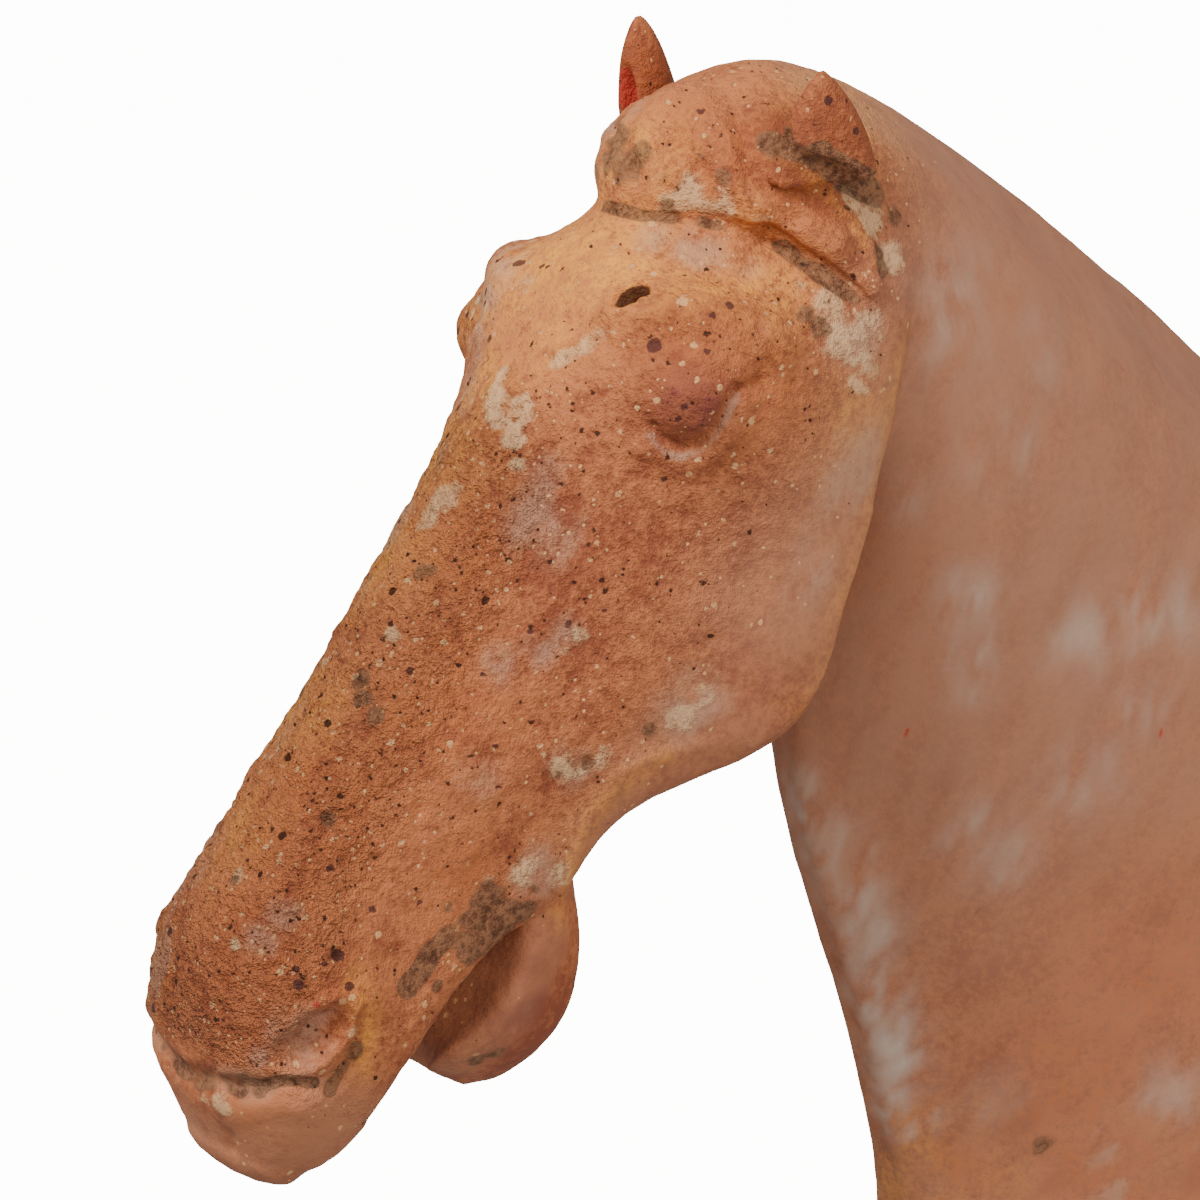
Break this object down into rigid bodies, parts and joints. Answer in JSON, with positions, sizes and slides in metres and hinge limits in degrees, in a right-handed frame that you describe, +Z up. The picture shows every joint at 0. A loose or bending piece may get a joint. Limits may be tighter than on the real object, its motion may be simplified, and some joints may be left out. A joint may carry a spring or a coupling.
{
  "type": "terracotta horse head",
  "caption": "Ancient terracotta horse's head and neck with small ears, forelock, open mouth and worn slip, a bust cut flat below to stand by its own weight.",
  "frame": {"origin": "middle of the flat cut under the neck", "axes": "+Z up, the horse looks along -Y, its left side is +X"},
  "size_m": [0.084, 0.271, 0.225],
  "materials": {
    "terracotta": "low-fired orange-brown earthenware, matt, with pits, light and dark grit, remains of pale slip and red paint, and grey-brown soil"
  },
  "bodies": {
    "root": {"horse_head": "terracotta"}
  },
  "joints": []
}
